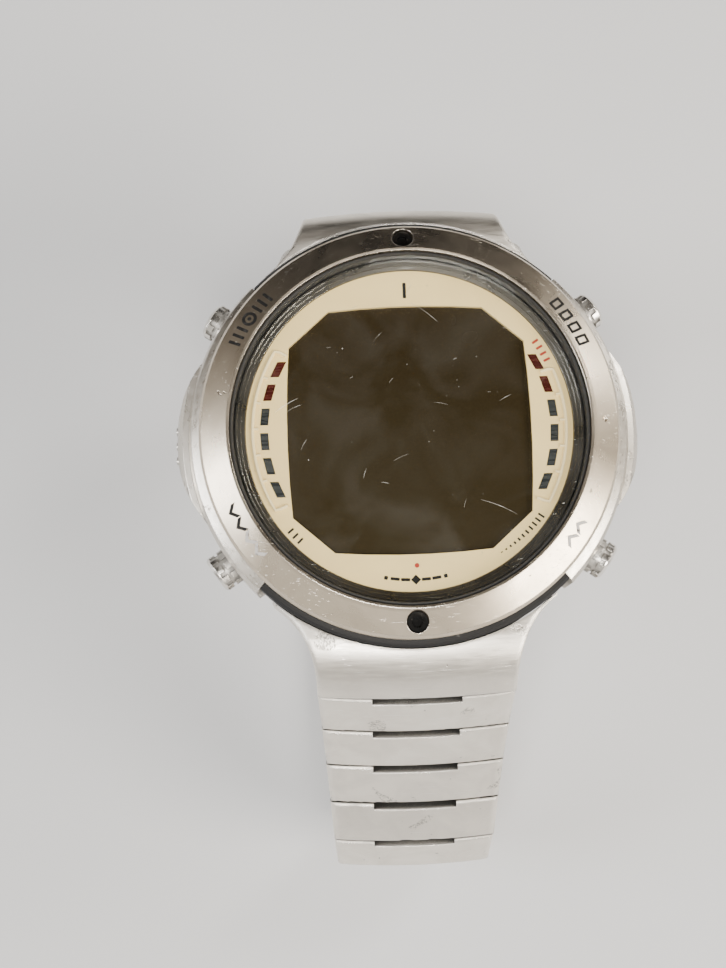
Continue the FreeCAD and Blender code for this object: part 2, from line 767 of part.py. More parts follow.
def crowned_block(start, end, end_slope, lean):
    """A block under one smooth curve from the case to the hinge, swung about a leaning axis."""
    begin = V(0, start[0], start[1])
    finish = V(0, end[0], end[1])
    reach = (finish - begin).Length * 0.42
    start_slope = math.radians(6.0)
    final_slope = math.radians(end_slope)
    curve = Part.BezierCurve()
    curve.setPoles([
        begin, begin + V(0, math.cos(start_slope), -math.sin(start_slope)) * reach,
        finish - V(0, math.cos(final_slope), -math.sin(final_slope)) * reach, finish,
    ])
    corners = [finish, V(0, end[0], -6.0), V(0, 12.0, -6.0), V(0, 12.0, start[1]), begin]
    face = Part.Face(Part.Wire([curve.toShape(), *Part.makePolygon(corners).Edges]))
    tilt = math.radians(lean)
    axis = V(0, math.cos(tilt), -math.sin(tilt))
    crown = link_crown.value
    hub = V(0, begin.y - crown * math.sin(tilt), begin.z - crown * math.cos(tilt))
    face.rotate(hub, axis, -14.0)
    block = doc.addObject("Part::Feature", "CrownedBlock")
    block.Shape = face.revolve(hub, axis, 28.0)
    return block


def end_link_edges(edge):
    """The long edges along the end link's flared sides, and its lip over the hinge."""
    extent = edge.BoundBox
    if min(abs(extent.XMin), abs(extent.XMax)) > 10.9:
        wanted = extent.YLength > 1.2 and extent.ZLength > 0.5 and extent.ZMin > 4.5
    else:
        wanted = (extent.XLength > 15.0 and extent.YMin > 26.5 and extent.ZMax > 4.9
                  and edge.Curve.TypeId.endswith("BSplineCurve"))
    return "end_link_round" if wanted else None


def end_link(side, start, slope):
    """The fixed link that fills the space between the case and the first hinge."""
    down = math.radians(slope)
    pin_y, pin_z = start[0] * side, start[1]
    ahead = (math.cos(down), -math.sin(down))
    out = (math.sin(down), math.cos(down))

    def spot(along, outward):
        return (pin_y + along * ahead[0] + outward * out[0],
                pin_z + along * ahead[1] + outward * out[1])

    pin = spot(0.0, 0.0)
    block = crowned_block((23.0, 12.1), spot(2.4, link_outer.value), slope, slope * 0.5)
    limit = side_prism([
        (15.0, 4.2), (15.0, 16.0), spot(link_reach.value, 12.0), spot(link_reach.value, 0.0),
        pin, spot(0.0, -link_inner.value), (24.6, 4.2),
    ], 15.7)
    flares = [rod(10.9, 24.0, (22.05 * flank, 27.5, -4.0)) for flank in (1, -1)]
    trims = [box(*span, 27.5, 36.0, -4.0, 20.0) for span in ((11.15, 24.0), (-24.0, -11.15))]
    case_face = rod(insert_radius + 0.12, 24.0, (0, 0, -4.0))
    shell = soften(cut(common(block, limit), *flares, *trims, case_face), end_link_edges)
    ear = common(
        cross_rod(ear_round, 11.0, *pin),
        side_prism([spot(-2.0, -link_inner.value), spot(2.0, -link_inner.value),
                    spot(2.0, 1.1), spot(-2.0, 1.1)], 15.0),
    )
    gap_half = tongue_half + 0.15
    knuckle_room = cross_rod(tongue_round + 0.15, gap_half, *pin)
    slot = side_prism([spot(0.0, skin_under.value), spot(2.5, skin_under.value),
                       spot(2.5, -4.0), spot(-1.2, -4.0), spot(-1.2, 0.0), pin], gap_half)
    hinge_hole = cross_rod(pin_radius + 0.02, 15.0, *pin)
    root = fuse(
        cross_rod(1.0, end_tongue_half, lug_pin_radius, lug_pin_height),
        wide_box(end_tongue_half, lug_pin_radius, 24.8, 4.2, 6.2),
    )
    lug_hole = cross_rod(pin_radius + 0.02, 15.0, lug_pin_radius, lug_pin_height)
    whole = cut(fuse(shell, ear, root), knuckle_room, slot, hinge_hole, lug_hole)
    if side < 0:
        whole = turned_copy(whole, 180.0)
    return whole


keep("end_link_lower", end_link(-1, LOWER_START, 50.0))
keep("end_link_upper", end_link(1, UPPER_START, 75.0))

root_pins = []
for y, z in ((lug_pin_radius, lug_pin_height), (-lug_pin_radius, lug_pin_height),
             LOWER_START, UPPER_START):
    root_pins.append(cross_rod(pin_radius, 10.6, y, z))
keep("root_pins", together(*root_pins))

# ---------------------------------------------------------------- folding clasp
clasp_base = dim("clasp_base")
clasp_half = dim("clasp_half")
clasp_wall = dim("clasp_wall")
clasp_plate = dim("clasp_plate")
clasp_height = dim("clasp_height")
blade_thick = dim("blade_thick")

end_run = math.radians(LOWER_END_SLOPE)
end_length = dim("strap_end_pitch").value
strap_bar = (
    lower_pins[-1][0] - end_length * math.cos(end_run),
    lower_pins[-1][1] - end_length * math.sin(end_run),
)
blade_hinge = (strap_bar[0] + 4.2, -37.4)
cover_hinge = (8.0, -38.0)
upper_end = upper_pins[-1]

inside_half = clasp_half - clasp_wall
wall_top = clasp_base + clasp_height
walls = fuse(
    wide_box(clasp_half, strap_bar[0], 5.6, clasp_base, wall_top),
    common(cross_rod(2.15, clasp_half, *strap_bar),
           wide_box(clasp_half, -60.0, 0, clasp_base, wall_top)),
    wide_box(clasp_half, 5.0, cover_hinge[0], cover_hinge[1] - 1.4, cover_hinge[1] + 1.4),
    cross_rod(1.4, clasp_half, *cover_hinge),
)
channel = wide_box(inside_half, -60.0, 20.0, clasp_base - 1.0, 0)
plate = wide_box(clasp_half, blade_hinge[0] + 5.7, 5.6, clasp_base, clasp_base + clasp_plate)
adjust_holes = [
    cross_rod(0.5, 15.0, strap_bar[0] + offset, strap_bar[1]) for offset in (0.0, 3.2, 6.4)
]
line_grooves = [wide_box(15.0, y, y + 0.35, clasp_base - 0.1, clasp_base + 0.25)
                for y in (-26.5, -19.1, -11.7, -4.3, 3.1)]
cover_hole = cross_rod(pin_radius + 0.02, 15.0, *cover_hinge)
keep("clasp_cover", cut(
    fuse(cut(walls, channel), plate), *adjust_holes, *line_grooves, cover_hole))

outer_low = clasp_base + clasp_plate + 0.2
outer_high = outer_low + blade_thick
outer_blade = fuse(
    wide_box(7.9, blade_hinge[0] + 1.9, 5.9, outer_low, outer_high),
    cross_rod(1.2, 3.9, *blade_hinge),
    wide_box(3.9, blade_hinge[0], blade_hinge[0] + 3.0, outer_low, outer_high),
    box(6.6, 7.9, 5.0, cover_hinge[0], outer_low, outer_high),
    box(-7.9, -6.6, 5.0, cover_hinge[0], outer_low, outer_high),
    rod(1.1, 1.3, (6.6, *cover_hinge), "x"),
    rod(1.1, 1.3, (-7.9, *cover_hinge), "x"),
)
outer_windows = [wide_box(4.6, y, y + 10.0, outer_low - 1.0, outer_high + 1.0)
                 for y in (-31.0, -17.5, -4.0 - 0.2)]
keep("outer_blade", cut(
    outer_blade, *outer_windows,
    cross_rod(pin_radius + running_gap, 15.0, *blade_hinge),
    cross_rod(pin_radius + running_gap, 15.0, *cover_hinge)))

inner_low = outer_high + 0.3
inner_high = inner_low + blade_thick
rise_run = upper_end[0] - 6.0
rise_lift = upper_end[1] - (inner_low.value + 0.5)
rise_angle = math.degrees(math.atan2(rise_lift, rise_run))
rise = box(-tongue_half, tongue_half, 0, math.hypot(rise_run, rise_lift), -0.5, 0.5)
for letter in "xyz":
    rise.setExpression("Placement.Base." + letter, None)
rise_turn = FreeCAD.Rotation(V(1, 0, 0), rise_angle)
rise_corner = V(0, 6.0, inner_low.value + 0.5) + rise_turn.multVec(V(-tongue_half.value, 0, -0.5))
rise.Placement = FreeCAD.Placement(rise_corner, rise_turn)
inner_blade = fuse(
    wide_box(6.4, blade_hinge[0] + 1.0, 6.4, inner_low, inner_high),
    box(4.0, 6.4, blade_hinge[0], blade_hinge[0] + 2.0, inner_low, inner_high),
    box(-6.4, -4.0, blade_hinge[0], blade_hinge[0] + 2.0, inner_low, inner_high),
    rod(1.2, 2.4, (4.0, *blade_hinge), "x"),
    rod(1.2, 2.4, (-6.4, *blade_hinge), "x"),
    rise,
    cross_rod(tongue_round, tongue_half, *upper_end),
)
keep("inner_blade", cut(
    inner_blade,
    wide_box(4.0, blade_hinge[0] - 2.0, blade_hinge[0] + 1.5, -45.0, -30.0),
    cross_rod(pin_radius + 0.02, 15.0, *blade_hinge),
    cross_rod(pin_radius + running_gap, 15.0, *upper_end)))

keep("cover_pin", cross_rod(pin_radius, clasp_half - 0.2, *cover_hinge))
keep("blade_pin", cross_rod(pin_radius, 6.3, *blade_hinge))
keep("spring_bar", fuse(
    cross_rod(dim("spring_bar_radius"), 7.4, *strap_bar),
    cross_rod(0.45, 7.75, *strap_bar)))

# ---------------------------------------------------------------- checks and files
doc.recompute()
broken = [o.Label for o in doc.Objects if "Invalid" in o.State or "Error" in o.State]
if broken:
    raise RuntimeError("failed objects: " + ", ".join(broken))
labels = [o.Label for o in subparts]
if len(set(labels)) != len(labels) or len(labels) > 60:
    raise RuntimeError("sub-part labels are not usable")
for obj in subparts:
    if obj.Shape.isNull() or not obj.Shape.isValid() or not obj.Shape.Solids:
        raise RuntimeError("bad shape: " + obj.Label)
for obj in subparts:
    obj.Shape.exportStep(os.path.join("parts", obj.Label + ".step"))
    print("%-18s solids %d volume %.2f" % (obj.Label, len(obj.Shape.Solids), obj.Shape.Volume))
print("sub-parts", len(subparts))
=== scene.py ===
# Looks of the wrist dive computer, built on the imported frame. Metres throughout; mm() converts.
import json
import math
import random

import bmesh
import bpy
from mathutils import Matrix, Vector


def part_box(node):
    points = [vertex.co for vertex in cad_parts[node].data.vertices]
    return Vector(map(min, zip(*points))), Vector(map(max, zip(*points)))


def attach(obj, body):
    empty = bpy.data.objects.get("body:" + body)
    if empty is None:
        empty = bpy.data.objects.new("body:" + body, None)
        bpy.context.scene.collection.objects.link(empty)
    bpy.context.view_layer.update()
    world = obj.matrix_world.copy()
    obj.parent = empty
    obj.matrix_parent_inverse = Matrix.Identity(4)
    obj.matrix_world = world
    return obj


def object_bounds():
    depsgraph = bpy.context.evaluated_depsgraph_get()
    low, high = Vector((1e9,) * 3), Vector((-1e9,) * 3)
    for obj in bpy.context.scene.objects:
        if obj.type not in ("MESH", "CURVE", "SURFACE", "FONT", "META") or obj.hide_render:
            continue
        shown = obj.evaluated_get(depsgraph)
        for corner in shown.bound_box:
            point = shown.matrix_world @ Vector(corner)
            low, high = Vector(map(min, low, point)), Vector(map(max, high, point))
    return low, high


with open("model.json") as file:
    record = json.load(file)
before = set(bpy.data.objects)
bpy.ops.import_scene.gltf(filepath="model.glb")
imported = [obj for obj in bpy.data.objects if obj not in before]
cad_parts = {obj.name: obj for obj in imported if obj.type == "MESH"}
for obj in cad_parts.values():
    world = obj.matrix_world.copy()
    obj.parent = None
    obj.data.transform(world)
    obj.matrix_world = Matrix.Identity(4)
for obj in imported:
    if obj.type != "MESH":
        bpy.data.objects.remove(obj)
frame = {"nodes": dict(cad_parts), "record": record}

cad_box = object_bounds()
MM = 0.001


# ------------------------------------------------------------------ node helpers
class Shader:
    """A small wrapper that wires one material's nodes."""

    def __init__(self, name):
        self.mat = bpy.data.materials.new(name)
        self.mat.use_nodes = True
        self.tree = self.mat.node_tree
        self.tree.nodes.clear()
        self.out = self.tree.nodes.new("ShaderNodeOutputMaterial")
        self.coord = self.tree.nodes.new("ShaderNodeTexCoord").outputs["Object"]

    def node(self, kind, inputs=None, **props):
        item = self.tree.nodes.new(kind)
        for key, value in props.items():
            setattr(item, key, value)
        for key, value in (inputs or {}).items():
            self.set(item.inputs[key], value)
        return item

    def set(self, socket, value):
        if isinstance(value, bpy.types.NodeSocket):
            self.tree.links.new(value, socket)
        else:
            socket.default_value = value

    def math(self, op, a, b=0.0, clamp=False):
        return self.node("ShaderNodeMath", {0: a, 1: b}, operation=op, use_clamp=clamp).outputs[0]

    def mapped(self, scale, turn=(0, 0, 0), vector=None):
        item = self.node("ShaderNodeMapping", {"Vector": vector or self.coord, "Scale": scale,
                                               "Rotation": turn})
        return item.outputs[0]

    def noise(self, vector, detail=3.0, rough=0.5, warp=0.0):
        item = self.node("ShaderNodeTexNoise", {"Vector": vector, "Scale": 1.0, "Detail": detail,
                                                "Roughness": rough, "Distortion": warp})
        return item.outputs["Fac"]

    def ramp(self, value, low, high, out_low=0.0, out_high=1.0):
        item = self.node("ShaderNodeMapRange", {0: value, 1: low, 2: high, 3: out_low, 4: out_high})
        item.clamp = True
        return item.outputs[0]

    def blend(self, share, a, b):
        item = self.node("ShaderNodeMix", data_type="RGBA")
        self.set(item.inputs[0], share)
        self.set(item.inputs[6], a)
        self.set(item.inputs[7], b)
        return item.outputs[2]

    def mix_value(self, share, a, b):
        item = self.node("ShaderNodeMix", data_type="FLOAT")
        self.set(item.inputs[0], share)
        self.set(item.inputs[2], a)
        self.set(item.inputs[3], b)
        return item.outputs[0]

    def bump(self, height, strength, distance, normal=None):
        item = self.node("ShaderNodeBump", {"Height": height, "Strength": strength,
                                            "Distance": distance})
        if normal is not None:
            self.set(item.inputs["Normal"], normal)
        return item.outputs[0]

    def soft_edges(self, radius):
        """A rounded normal, and a mask that is 1 on sharp edges and 0 on open faces."""
        soft = self.node("ShaderNodeBevel", {"Radius": radius}, samples=3).outputs[0]
        flat = self.node("ShaderNodeNewGeometry").outputs["Normal"]
        dot = self.node("ShaderNodeVectorMath", {0: soft, 1: flat}, operation="DOT_PRODUCT")
        return soft, self.ramp(dot.outputs["Value"], 0.995, 0.93)

    def polar(self, radial, around, height):
        """Coordinates that follow circles round the watch's axis."""
        parts = self.node("ShaderNodeSeparateXYZ", {0: self.coord})
        radius = self.math("SQRT", self.math(
            "ADD", self.math("MULTIPLY", parts.outputs[0], parts.outputs[0]),
            self.math("MULTIPLY", parts.outputs[1], parts.outputs[1])))
        angle = self.math("ARCTAN2", parts.outputs[1], parts.outputs[0])
        joined = self.node("ShaderNodeCombineXYZ", {
            0: self.math("MULTIPLY", radius, radial), 1: self.math("MULTIPLY", angle, around),
            2: self.math("MULTIPLY", parts.outputs[2], height)})
        return joined.outputs[0]

    def hairlines(self, amount, seed):
        """Sparse fine scratches in several directions, 0 to 1."""
        total = None
        for i, degrees in enumerate((24.0, -41.0, 83.0)):
            turn = (0.35 * i + 0.2, 0.25 * i, math.radians(degrees) + seed)
            lines = self.noise(self.mapped((150.0, 7000.0, 7000.0), turn), 0.0, 0.4, 0.1)
            mask = self.ramp(lines, 0.80 - amount * 0.03, 0.83 - amount * 0.03)
            patch = self.ramp(self.noise(self.mapped((210.0,) * 3, turn), 1.0), 0.48, 0.60)
            mask = self.math("MULTIPLY", mask, patch)
            total = mask if total is None else self.math("MAXIMUM", total, mask)
        return total

    def scuffs(self, seed):
        """A few dull dings with a broken texture, 0 to 1."""
        spot = self.noise(self.mapped((330.0, 260.0, 330.0), (seed, 0.9, 0.2 + seed)), 0.0, 0.4, 0.3)
        grit = self.noise(self.mapped((3600.0, 2400.0, 3600.0), (0.1, seed, 0.7)), 1.0, 0.5, 1.2)
        return self.math("MULTIPLY", self.ramp(spot, 0.745, 0.775), self.ramp(grit, 0.50, 0.60))

    def surface(self, **inputs):
        shader = self.node("ShaderNodeBsdfPrincipled")
        for key, value in inputs.items():
            self.set(shader.inputs[key.replace("_", " ")], value)
        self.tree.links.new(shader.outputs[0], self.out.inputs[0])
        return self.mat


ROUND_GRAIN = (5200.0, 14.0, 5200.0)
BRUSH = 0.45
BRIGHT_SCRATCH = (0.94, 0.93, 0.91, 1)
# Colour of the painted highlight laid on sharp edges.
PAINTED_EDGE_HIGHLIGHT = (0.92, 0.91, 0.89, 1)
# Colour and reach of the painted shade that ambient occlusion lays into crevices and seams.
PAINTED_SHADE = (0.012, 0.011, 0.009, 1)
PAINTED_SHADE_REACH = 3.2 * MM


def steel(name, tint, roughness, grain, seed, wear=1.0, edge=0.10, dark=0.35, crevice_shade=0.0,
          dings=1.0, brush=BRUSH):
    """Worn stainless steel: brushing, smudges, hairlines, dings, painted highlights on edges,
    painted shade in corners.

    grain scales the straight brushing; None brushes in circles round the watch's axis.
    """
    s = Shader(name)
    brushed = s.mapped(grain) if grain else s.polar(*ROUND_GRAIN)
    lines = s.noise(brushed, 2.0, 0.6)
    fine = s.noise(s.mapped((6500.0,) * 3), 1.0, 0.5)
    smudge = s.noise(s.mapped((190.0, 190.0, 190.0), (seed, 0.4, 0.2)), 3.0, 0.62, 0.6)
    hair = s.hairlines(wear, seed)
    nick_noise = s.noise(s.mapped((1150.0, 1500.0, 1150.0), (seed, 1.1, 0.3)), 1.0, 0.45, 0.8)
    nicks = s.math("MAXIMUM", s.ramp(nick_noise, 0.79 - 0.02 * wear, 0.82 - 0.02 * wear),
                   s.math("MULTIPLY", s.scuffs(seed), dings))
    soft, edges = s.soft_edges(edge * MM)
    base = s.blend(s.ramp(smudge, 0.35, 0.7), (*tint, 1), (*[c * 0.86 for c in tint], 1))
    base = s.blend(s.math("MULTIPLY", nicks, 0.8), base, (*[c * dark for c in tint], 1))
    base = s.blend(s.math("MULTIPLY", hair, 0.4), base, BRIGHT_SCRATCH)
    # Painted highlight: sharp edges are lightened towards a pale grey.
    base = s.blend(s.math("MULTIPLY", edges, 0.35), base, PAINTED_EDGE_HIGHLIGHT)
    swing = brush / BRUSH
    rough = s.math("ADD", s.ramp(lines, 0.3, 0.7, roughness - 0.05 * swing,
                                 roughness + 0.06 * swing),
                   s.ramp(smudge, 0.3, 0.75, -0.03, 0.08))
    rough = s.math("SUBTRACT", rough, s.math("MULTIPLY", edges, 0.10), True)
    depth = s.math("ADD", s.math("MULTIPLY", hair, -1.0), s.math("MULTIPLY", nicks, -2.2))
    depth = s.math("ADD", depth, s.math("MULTIPLY", fine, 0.30))
    depth = s.math("ADD", depth, s.math("MULTIPLY", lines, brush))
    normal = s.bump(depth, 0.35, 0.00003, soft)
    metal = 1.0
    # Painted shade: ambient occlusion darkens the colour in crevices and between parts, and makes it
    # dull and less metallic there.
    if crevice_shade:
        occlusion = s.node("ShaderNodeAmbientOcclusion", {"Distance": PAINTED_SHADE_REACH}, samples=8)
        shade_share = s.math("MULTIPLY", s.ramp(occlusion.outputs["AO"], 0.78, 0.42), crevice_shade)
        base = s.blend(shade_share, base, PAINTED_SHADE)
        metal = s.math("SUBTRACT", 1.0, shade_share)
        rough = s.mix_value(shade_share, rough, 0.80)
    return s.surface(Base_Color=base, Metallic=metal, Roughness=rough, Normal=normal)


def plastic(name, tint, roughness, grain=2600.0, depth=0.10, coat=0.0, seed=0.0, shine=0.5):
    """Moulded or painted surface with fine grain, dust and slight colour drift."""
    s = Shader(name)
    fine = s.noise(s.mapped((grain,) * 3), 3.0, 0.6)
    drift = s.noise(s.mapped((240.0,) * 3, (seed, 0.5, 0.1)), 3.0, 0.55, 0.4)
    dust = s.ramp(s.noise(s.mapped((2100.0,) * 3, (seed, 0.2, 1.4)), 2.0, 0.5), 0.72, 0.78)
    base = s.blend(s.ramp(drift, 0.3, 0.75), (*tint, 1), (*[c * 0.88 for c in tint], 1))
    base = s.blend(s.math("MULTIPLY", dust, 0.12), base, (0.6, 0.58, 0.54, 1))
    rough = s.ramp(fine, 0.3, 0.7, roughness - 0.05, roughness + 0.08)
    normal = s.bump(fine, depth, 0.00002)
    return s.surface(Base_Color=base, Roughness=rough, Normal=normal, Coat_Weight=coat,
                     Coat_Roughness=0.06, Specular_IOR_Level=shine)


def glass_material():
    """Thin clear crystal: reflects by angle, lets light through, with a faint film of grease."""
    s = Shader("crystal_glass")
    mist = s.ramp(s.noise(s.mapped((120.0,) * 3), 3.0, 0.6, 0.8), 0.35, 0.75)
    facing = s.node("ShaderNodeLayerWeight", {"Blend": 0.5}).outputs["Facing"]
    fresnel = s.math("ADD", s.math("MULTIPLY", s.math("POWER", facing, 5.0), 0.90), 0.042)
    clear = s.node("ShaderNodeBsdfTransparent", {"Color": (0.965, 0.97, 0.96, 1)})
    sheen = s.node("ShaderNodeBsdfGlossy", {
        "Color": (1, 1, 1, 1), "Roughness": s.ramp(mist, 0.0, 1.0, 0.015, 0.06)})
    marks = s.node("ShaderNodeBsdfDiffuse", {"Color": (0.82, 0.82, 0.8, 1)})
    body = s.node("ShaderNodeMixShader", {0: fresnel, 1: clear.outputs[0], 2: sheen.outputs[0]})
    share = s.ramp(mist, 0.2, 1.0, 0.0, 0.010)
    worn = s.node("ShaderNodeMixShader", {0: share, 1: body.outputs[0], 2: marks.outputs[0]})
    s.tree.links.new(worn.outputs[0], s.out.inputs[0])
    return s.mat


LCD_REACH = 15.0 * MM


def lcd_material():
    """A switched-off display: dark olive polariser under glass, with painted sheen that makes it
    lighter towards the foot.
    """
    s = Shader("lcd_off")
    parts = s.node("ShaderNodeSeparateXYZ", {0: s.coord})
    # Painted sheen: the colour lightens towards the foot, the bright side of the room.
    fall = s.ramp(parts.outputs[1], -LCD_REACH, LCD_REACH)
    grain = s.noise(s.mapped((3800.0, 3800.0, 3800.0)), 2.0, 0.5)
    cloud = s.noise(s.mapped((90.0, 90.0, 90.0)), 2.0, 0.5, 0.5)
    base = s.blend(fall, (0.028, 0.0205, 0.0090, 1), (0.0185, 0.0122, 0.0044, 1))
    base = s.blend(s.ramp(cloud, 0.3, 0.7, 0.0, 0.35), base, (0.0245, 0.0170, 0.0070, 1))
    base = s.blend(s.ramp(grain, 0.45, 0.6, 0.0, 0.10), base, (0.045, 0.032, 0.018, 1))
    return s.surface(Base_Color=base, Roughness=s.ramp(cloud, 0.3, 0.7, 0.20, 0.28),
                     Specular_IOR_Level=0.35)


RED_ABOVE = 3.2 * MM


def bars_material():
    """Display segments: the two top ones on each side are dark red, the rest slate grey."""
    s = Shader("indicator_segments")
    parts = s.node("ShaderNodeSeparateXYZ", {0: s.coord})
    top = s.math("GREATER_THAN", parts.outputs[1], RED_ABOVE)
    streak = s.noise(s.mapped((300.0, 2600.0, 300.0)), 2.0, 0.5)
    grey = s.blend(s.ramp(streak, 0.35, 0.65), (0.014, 0.017, 0.019, 1), (0.034, 0.038, 0.040, 1))
    red = s.blend(s.ramp(streak, 0.35, 0.65), (0.036, 0.004, 0.003, 1), (0.066, 0.008, 0.005, 1))
    base = s.blend(top, grey, red)
    return s.surface(Base_Color=base, Roughness=s.ramp(streak, 0.3, 0.7, 0.22, 0.34))


def dial_material(name, tint, speck):
    """Printed dial: eggshell paint with a fine tooth and faint ageing."""
    s = Shader(name)
    tooth = s.noise(s.mapped((5200.0,) * 3), 3.0, 0.6)
    age = s.noise(s.mapped((140.0,) * 3, (0.3, 0.8, 0.1)), 3.0, 0.6, 0.5)
    spots = s.ramp(s.noise(s.mapped((1500.0,) * 3, (0.9, 0.2, 0.4)), 2.0, 0.4), 0.75, 0.79)
    base = s.blend(s.ramp(age, 0.35, 0.7), (*tint, 1), (*[c * 0.93 for c in tint], 1))
    base = s.blend(s.math("MULTIPLY", spots, speck), base, (0.40, 0.33, 0.22, 1))
    normal = s.bump(tooth, 0.12, 0.00002)
    return s.surface(Base_Color=base, Roughness=s.ramp(tooth, 0.3, 0.7, 0.42, 0.58), Normal=normal)


def ink_material(name, tint, loss):
    """Printed or filled mark with patchy wear that lets the ground show as a paler tone."""
    s = Shader(name)
    patch = s.noise(s.mapped((1500.0,) * 3, (0.5, 0.1, 0.9)), 3.0, 0.6, 0.5)
    base = s.blend(s.ramp(patch, 0.62 - loss * 0.3, 0.72 - loss * 0.3), (*tint, 1),
                   (*[c * (1.3 + 3.0 * loss) for c in tint], 1))
    return s.surface(Base_Color=base, Roughness=s.ramp(patch, 0.3, 0.7, 0.50, 0.70),
                     Specular_IOR_Level=0.15)


# Edge radii and the like are in mm; the scales of noise are per metre.
# Links, case and pushers get painted shade in their crevices and seams from the occlusion share.
link_steel = steel("bracelet_steel", (0.84, 0.79, 0.71), 0.37, (260.0, 3200.0, 3200.0), 0.4,
                   wear=0.9, edge=0.50, crevice_shade=1.0)
bezel_steel = steel("bezel_steel", (0.62, 0.535, 0.42), 0.27, None, 1.7,
                    wear=0.6, edge=0.12, dings=0.0, brush=0.06)
case_steel = steel("case_steel", (0.65, 0.605, 0.535), 0.28, (900.0, 900.0, 4200.0), 2.3,
                   wear=1.0, edge=0.14, crevice_shade=0.8)
button_steel = steel("pusher_steel", (0.76, 0.73, 0.68), 0.20, (2400.0, 2400.0, 2400.0), 3.1,
                     wear=1.1, edge=0.10, crevice_shade=0.7)
blade_steel = steel("blade_steel", (0.70, 0.69, 0.67), 0.25, (4200.0, 260.0, 4200.0), 4.4,
                    wear=0.8, edge=0.08)
back_steel = steel("back_steel", (0.68, 0.67, 0.65), 0.30, None, 5.2, wear=0.9, edge=0.10)
pin_steel = steel("pin_steel", (0.58, 0.57, 0.56), 0.30, (300.0, 3600.0, 3600.0), 0.2,
                  wear=0.6, edge=0.05)
screw_black = plastic("screw_black", (0.0040, 0.0038, 0.0036), 0.34, 3000.0, 0.20, seed=1.2,
                      shine=0.12)
coil_steel = steel("coil_steel", (0.62, 0.61, 0.59), 0.22, (3600.0,) * 3, 2.8, wear=0.3, edge=0.02)
insert_black = plastic("insert_black", (0.012, 0.012, 0.0125), 0.46, 3200.0, 0.16, seed=0.6,
                       shine=0.22)
gasket_black = plastic("gasket_rubber", (0.010, 0.010, 0.010), 0.60, 4200.0, 0.25, seed=1.9)
flange_dark = steel("flange_dark", (0.155, 0.145, 0.13), 0.28, None, 2.2,
                    wear=0.1, edge=0.05, dark=0.7, dings=0.0, brush=0.0)
holder_dark = plastic("holder_plastic", (0.055, 0.055, 0.056), 0.48, 1800.0, 0.12, seed=3.0)
board_green = plastic("board_mask", (0.018, 0.095, 0.045), 0.32, 4200.0, 0.10, coat=0.3, seed=0.1)
cell_metal = steel("cell_metal", (0.70, 0.70, 0.69), 0.20, (900.0,) * 3, 3.7, wear=0.5, edge=0.08)
dial_cream = dial_material("dial_cream", (0.89, 0.675, 0.305), 0.4)
# The dial paint made lighter for the raised brackets: a painted highlight on the relief.
lit_relief_cream = dial_material("lit_relief_cream", (0.93, 0.77, 0.45), 0.1)

FINISH = {
    "satin_steel": link_steel, "polished_steel": button_steel, "pin_steel": pin_steel,
    "dark_screws": screw_black, "blade_steel": blade_steel, "back_steel": back_steel,
    "black_composite": insert_black, "crystal": glass_material(), "gasket": gasket_black,
    "flange": flange_dark, "dial": dial_cream, "bars": bars_material(), "lcd": lcd_material(),
    "module": holder_dark, "board": board_green, "cell": cell_metal,
}
BY_NODE = {
    "bezel": bezel_steel, "mid_case": case_steel, "flank_guards": case_steel,
    "button_springs": coil_steel,
}
slot_of = {row["node"]: row["material_slot"] for row in frame["record"]["subparts"]}
for name, obj in frame["nodes"].items():
    finish = BY_NODE.get(name, FINISH[slot_of[name]])
    obj.data.materials.clear()
    obj.data.materials.append(finish)


# ------------------------------------------------------------------ small mesh helpers
def new_piece(name, body, material, build):
    """A piece whose mesh is made by build(bm), riding on a CAD body."""
    mesh = bpy.data.meshes.new(name)
    bm = bmesh.new()
    build(bm)
    bmesh.ops.recalc_face_normals(bm, faces=bm.faces)
    bm.to_mesh(mesh)
    bm.free()
    obj = bpy.data.objects.new(name, mesh)
    bpy.context.scene.collection.objects.link(obj)
    mesh.materials.append(material)
    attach(obj, body)


def slab(bm, outline, height_of, thick):
    """A thin closed plate from an outline; height_of(x, y) is its top. All in mm."""
    top = [bm.verts.new((x * MM, y * MM, height_of(x, y) * MM)) for x, y in outline]
    low = [bm.verts.new((x * MM, y * MM, (height_of(x, y) - thick) * MM)) for x, y in outline]
    bm.faces.new(top)
    bm.faces.new(list(reversed(low)))
    count = len(outline)
    for i in range(count):
        j = (i + 1) % count
        bm.faces.new((top[j], top[i], low[i], low[j]))


def ridge(bm, path, half, height, base):
    """A rounded bead that follows an open path of (x, y) points on the dial, in mm."""
    profile = [(-half, 0.0), (-half * 0.8, height * 0.7), (-half * 0.35, height),
               (half * 0.35, height), (half * 0.8, height * 0.7), (half, 0.0)]
    rings = []
    for i, (x, y) in enumerate(path):
        before = path[max(i - 1, 0)]
        after = path[min(i + 1, len(path) - 1)]
        way = Vector((after[0] - before[0], after[1] - before[1])).normalized()
        rings.append([bm.verts.new(((x - way.y * a) * MM, (y + way.x * a) * MM, (base + b) * MM))
                      for a, b in profile])
    for one, two in zip(rings, rings[1:]):
        for k in range(len(profile)):
            m = (k + 1) % len(profile)
            bm.faces.new((one[k], one[m], two[m], two[k]))
    bm.faces.new(list(reversed(rings[0])))
    bm.faces.new(rings[-1])


def on_circle(radius, degrees):
    return (radius * math.cos(math.radians(degrees)), radius * math.sin(math.radians(degrees)))


def turned(x, y, degrees):
    a = math.radians(degrees)
    return (x * math.cos(a) - y * math.sin(a), x * math.sin(a) + y * math.cos(a))


def local_shape(points, radius, degrees, turn=0.0):
    """Points drawn with +Y pointing outwards, turned, then set on a circle at an angle."""
    out = []
    for point in points:
        x, y = turned(*point, turn)
        out.append(turned(x, y + radius, degrees - 90.0))
    return out


